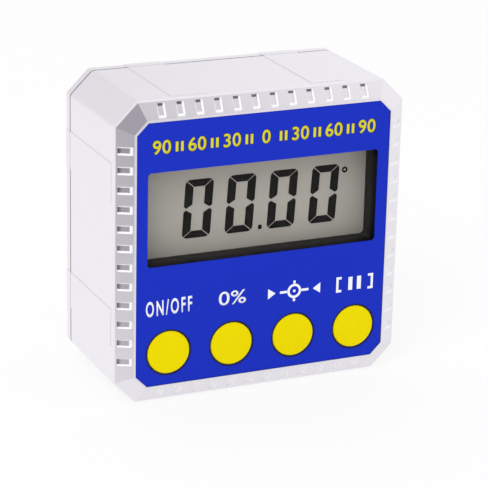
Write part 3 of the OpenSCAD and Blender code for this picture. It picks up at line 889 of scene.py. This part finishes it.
def hold_sign(settings, x):
    """Two bars between brackets, for keeping the reading."""
    stroke = settings.stroke
    bar_w = 0.75 * MM
    bar_h = 2.3 * MM
    bar_x = 0.8 * MM
    bracket_h = 2.7 * MM
    bracket_x = 3.2 * MM
    hook_w = 0.55 * MM
    hook_x = 2.72 * MM
    pieces = []
    for side in (-1, 1):
        pieces.append(flat_plate("bar", bar_w, bar_h, x + side * bar_x, 0))
        pieces.append(flat_plate("bracket", stroke, bracket_h, x + side * bracket_x, 0))
        for end in (-1, 1):
            hook_y = end * (bracket_h - stroke) / 2
            pieces.append(flat_plate("hook", hook_w, stroke, x + side * hook_x, hook_y))
    return pieces


def build_legends(settings):
    """White marks above the four buttons."""
    label_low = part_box("front_label")[0]
    columns = []
    for index in BUTTONS:
        low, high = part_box(f"button_cap_{index}")
        columns.append((low + high) / 2)
    z = columns[0].z + settings.legend_rise
    power = words(
        "legend_power", "ON/OFF", settings.power_size, settings.power_bold, columns[0].x, 0,
        settings.power_squeeze, settings.power_spacing, settings.power_turn,
    )
    unit = words(
        "legend_unit", "0%", settings.unit_size, settings.unit_bold, columns[1].x, settings.unit_lift,
        settings.unit_squeeze,
    )
    target = join("legend_zero", target_sign(settings, columns[2].x))
    hold = join("legend_hold", hold_sign(settings, columns[3].x))
    made = [power, unit, target, hold]
    for piece in made:
        thicken(piece, settings.ink_height)
        stand_up(piece, label_low.y, z)
    return made


def build_shade_rings(settings):
    """Dark line round the hole of each button, painted shade of the gap round the button."""
    label_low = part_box("front_label")[0]
    radius = settings.button_r + settings.ring_gap + settings.ring_w
    rings = []
    for index in BUTTONS:
        low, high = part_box(f"button_cap_{index}")
        middle = (low + high) / 2
        rings.append(ring("ring", radius, settings.ring_w, middle.x, 0))
    made = join("button_shade_rings", rings)
    thicken(made, settings.ink_height)
    stand_up(made, label_low.y, middle.z)
    return made


# Stage


def build_floor(settings):
    """Pale floor that keeps a soft shadow."""
    deselect()
    bpy.ops.mesh.primitive_plane_add(size=6, location=(0, 0, 0))
    floor = bpy.context.object
    floor.name = "floor"
    finish = new_finish("floor_paper")
    fleck = finish.grain(size=3 * MM)
    tone = finish.mottle(fleck, settings.floor, darkest=0.99)
    paper = finish.add("ShaderNodeBsdfDiffuse", inputs={"Color": tone})
    glow = finish.add("ShaderNodeEmission", inputs={"Color": WHITE, "Strength": 1.0})
    share = settings.floor_glow * seen(finish)
    mixed = finish.add("ShaderNodeMixShader", inputs={0: share, 1: paper, 2: glow})
    finish.add("ShaderNodeOutputMaterial", inputs={"Surface": mixed})
    floor.data.materials.append(finish.owner)
    floor.visible_glossy = False


def seen(finish):
    """1 for what the camera, a gloss or a clear sheet shows, 0 for plain light."""
    camera, glossy, through = [
        finish.add("ShaderNodeLightPath", output=f"Is {kind} Ray")
        for kind in ("Camera", "Glossy", "Transmission")
    ]
    return finish.add(
        "ShaderNodeMath", {"operation": "ADD", "use_clamp": True}, {0: camera + glossy, 1: through}
    )


def build_world(settings):
    """White surround, with plain light a little weaker than what is seen of it."""
    world = bpy.data.worlds.new("surround")
    bpy.context.scene.world = world
    finish = Finish(world)
    strength = settings.ambient + (1 - settings.ambient) * seen(finish)
    light = finish.add("ShaderNodeBackground", inputs={"Color": WHITE, "Strength": strength})
    finish.add("ShaderNodeOutputWorld", inputs={"Surface": light})


def away_from(finish, axis, near, far):
    """0 up to an angle of near from an axis, seen from the object's middle, and 1 from an angle of far on."""
    where = finish.add("ShaderNodeVectorMath", {"operation": "NORMALIZE"}, {0: finish.place()})
    cosine = finish.add("ShaderNodeVectorMath", {"operation": "DOT_PRODUCT"}, {0: where, 1: axis}, output=1)
    turn = finish.add("ShaderNodeMath", {"operation": "ARCCOSINE"}, {0: cosine})
    return finish.add(
        "ShaderNodeMapRange", {"interpolation_type": "SMOOTHSTEP"},
        {"Value": turn, "From Min": near, "From Max": far},
    )


def build_flag(settings):
    """Grey card round the camera and two paler ones behind and below the object, which only gloss shows."""
    deselect()
    bpy.ops.mesh.primitive_uv_sphere_add(
        segments=48, ring_count=24, radius=settings.flag_r, location=(0, 0, settings.flag_z)
    )
    flag = bpy.context.object
    flag.name = "flag"
    finish = new_finish("flag_cloth")
    front_card = away_from(finish, -view_forward(settings), settings.front_near, settings.front_far)
    back_card = away_from(finish, settings.back_axis, settings.back_near, settings.back_far)
    low_card = away_from(finish, settings.low_axis, settings.low_near, settings.low_far)
    pale_cards = between(back_card, settings.back_clear, 1) * between(low_card, settings.low_clear, 1)
    clearness = front_card * pale_cards
    dark = finish.add("ShaderNodeEmission", inputs={"Color": CARD_TINT, "Strength": settings.card_glow})
    clear = finish.add("ShaderNodeBsdfTransparent")
    mixed = finish.add("ShaderNodeMixShader", inputs={0: clearness, 1: dark, 2: clear})
    finish.add("ShaderNodeOutputMaterial", inputs={"Surface": mixed})
    flag.data.materials.append(finish.owner)
    flag.visible_camera = False
    flag.visible_diffuse = False
    flag.visible_shadow = False
    flag.visible_transmission = False


def build_key(settings):
    """Large soft lamp from the upper left."""
    deselect()
    bpy.ops.object.light_add(type="AREA", location=settings.key_place)
    lamp = bpy.context.object
    lamp.name = "key"
    lamp.data.shape = "DISK"
    lamp.data.size = settings.key_size
    lamp.data.energy = settings.key_power
    lamp.rotation_euler = (settings.key_aim - settings.key_place).to_track_quat("-Z", "Y").to_euler()
    lamp.visible_glossy = False


def view_forward(settings):
    """Direction in which the camera looks."""
    level = math.cos(settings.elevation)
    return Vector((
        math.sin(settings.azimuth) * level, math.cos(settings.azimuth) * level, -math.sin(settings.elevation)
    ))


def build_camera(settings):
    """Camera at the photograph's viewing angle."""
    forward = view_forward(settings)
    level_right = forward.cross(Vector((0, 0, 1))).normalized()
    level_up = level_right.cross(forward)
    right = level_right * math.cos(settings.roll) + level_up * math.sin(settings.roll)
    up = right.cross(forward)
    deselect()
    bpy.ops.object.camera_add()
    camera = bpy.context.object
    camera.name = "view"
    axes = Matrix((right, up, -forward)).transposed()
    camera.matrix_world = Matrix.Translation(settings.target - forward * settings.distance) @ axes.to_4x4()
    camera.data.sensor_width = 36
    camera.data.lens = settings.focal_length
    camera.data.clip_start = 0.01
    bpy.context.scene.camera = camera


# Operators


class GAUGE_OT_shell(bpy.types.Operator):
    """Paint the housing, the rear cover and the battery door"""

    bl_idname = "gauge.shell"
    bl_label = "Paint the shell"

    def execute(self, context):
        paint(satin_paint_with_painted_shading(context.scene.gauge_shell), "housing", "rear_cover", "battery_door")
        return {"FINISHED"}


class GAUGE_OT_label(bpy.types.Operator):
    """Finish the label and print its scale and legends"""

    bl_idname = "gauge.label"
    bl_label = "Finish and print the label"

    def execute(self, context):
        settings = context.scene.gauge_label
        paint(label_film(settings), "front_label")
        edge, face = build_scale(settings)
        carried(edge, ink("edge_ink", settings.edge_ink))
        carried(face, ink("scale_ink", settings.scale_ink))
        legend_ink = ink("legend_ink", settings.legend_ink)
        for piece in build_legends(settings):
            carried(piece, legend_ink)
        # Dark rings of painted shade round the buttons' holes
        carried(build_shade_rings(settings), ink("painted_ring_shade", settings.painted_ring_shade))
        return {"FINISHED"}


class GAUGE_OT_buttons(bpy.types.Operator):
    """Finish the four buttons"""

    bl_idname = "gauge.buttons"
    bl_label = "Finish the buttons"

    def execute(self, context):
        names = [f"button_cap_{index}" for index in BUTTONS]
        paint(moulded_yellow(context.scene.gauge_label), *names)
        return {"FINISHED"}


class GAUGE_OT_display(bpy.types.Operator):
    """Finish the display's frame, lens and glass, and add its digits"""

    bl_idname = "gauge.display"
    bl_label = "Finish the display"

    def execute(self, context):
        settings = context.scene.gauge_display
        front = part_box("lcd_frame")[0].y
        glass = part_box("lcd_panel")[0].y
        paint(frame_black(between(settings.frame_start, front, glass), glass), "lcd_frame")
        paint(clear_lens(), "window_lens")
        paint(display_ground(settings), "lcd_panel")
        segment = lit_segment(settings)
        for piece in build_digits(settings):
            carried(piece, segment)
        return {"FINISHED"}


class GAUGE_OT_fasteners(bpy.types.Operator):
    """Finish the screws, the magnets, the coin cell and its contacts"""

    bl_idname = "gauge.fasteners"
    bl_label = "Finish the metal pieces"

    def execute(self, context):
        steel = bright_metal("screw_steel", SCREW_STEEL, grain_size=0.1 * MM, roughness=0.25)
        magnet = bright_metal("magnet_plate", MAGNET_PLATE, grain_size=0.2 * MM, roughness=0.2)
        cell = bright_metal("cell_steel", CELL_STEEL, grain_size=0.15 * MM, roughness=0.22)
        spring = bright_metal("spring_plate", SPRING_PLATE, grain_size=0.1 * MM, roughness=0.25)
        paint(steel, "cover_screws", "board_screws")
        paint(magnet, "base_magnet_1", "base_magnet_2")
        paint(cell, "coin_cell")
        paint(spring, "contact_negative", "contact_positive")
        return {"FINISHED"}


class GAUGE_OT_inside(bpy.types.Operator):
    """Finish the board and what sits on it"""

    bl_idname = "gauge.inside"
    bl_label = "Finish the pieces inside"

    def execute(self, context):
        paint(lacquered_board(), "circuit_board")
        paint(moulded_dark("chip_black", level=0.02, roughness=0.4), "processor_chip")
        sensor = bright_metal("sensor_can", SENSOR_CAN, grain_size=0.12 * MM, roughness=0.28)
        paint(sensor, "tilt_sensor")
        paint(moulded_dark("connector_black", level=0.03, roughness=0.6), "lcd_connector")
        switch = moulded_dark("switch_black", level=0.025, roughness=0.45)
        paint(switch, *[f"switch_body_{index}" for index in BUTTONS])
        plunger = moulded_dark("plunger_grey", level=0.35, roughness=0.4)
        paint(plunger, *[f"switch_plunger_{index}" for index in BUTTONS])
        paint(coloured_sleeve("sleeve_black", SLEEVE_BLACK), "lead_negative")
        paint(coloured_sleeve("sleeve_red", SLEEVE_RED), "lead_positive")
        return {"FINISHED"}


class GAUGE_OT_stage(bpy.types.Operator):
    """Add the floor, the light and the camera"""

    bl_idname = "gauge.stage"
    bl_label = "Add the stage"

    def execute(self, context):
        settings = context.scene.gauge_stage
        context.scene.view_settings.view_transform = "Standard"
        build_floor(settings)
        build_world(settings)
        build_flag(settings)
        build_key(settings)
        build_camera(settings)
        return {"FINISHED"}


OPERATORS = (
    GAUGE_OT_shell, GAUGE_OT_label, GAUGE_OT_buttons, GAUGE_OT_display, GAUGE_OT_fasteners,
    GAUGE_OT_inside, GAUGE_OT_stage,
)


class GAUGE_PT_panel(bpy.types.Panel):
    """Steps that dress the angle gauge"""

    bl_idname = "GAUGE_PT_panel"
    bl_label = "Angle gauge"
    bl_space_type = "VIEW_3D"
    bl_region_type = "UI"
    bl_category = "Angle gauge"

    def draw(self, context):
        for step in OPERATORS:
            self.layout.operator(step.bl_idname)


SETTINGS = {
    "gauge_shell": ShellSettings,
    "gauge_label": LabelSettings,
    "gauge_display": DisplaySettings,
    "gauge_stage": StageSettings,
}


def register():
    """Adds the settings, the operators and the panel."""
    for name, group in SETTINGS.items():
        bpy.utils.register_class(group)
        setattr(bpy.types.Scene, name, PointerProperty(type=group))
    for step in OPERATORS:
        bpy.utils.register_class(step)
    bpy.utils.register_class(GAUGE_PT_panel)


def unregister():
    """Takes them away again."""
    bpy.utils.unregister_class(GAUGE_PT_panel)
    for step in reversed(OPERATORS):
        bpy.utils.unregister_class(step)
    for name, group in SETTINGS.items():
        delattr(bpy.types.Scene, name)
        bpy.utils.unregister_class(group)


def main():
    """Dresses the gauge, step by step."""
    register()
    bpy.ops.gauge.shell()
    bpy.ops.gauge.label()
    bpy.ops.gauge.buttons()
    bpy.ops.gauge.display()
    bpy.ops.gauge.fasteners()
    bpy.ops.gauge.inside()
    bpy.ops.gauge.stage()


if __name__ == "__main__":
    main()
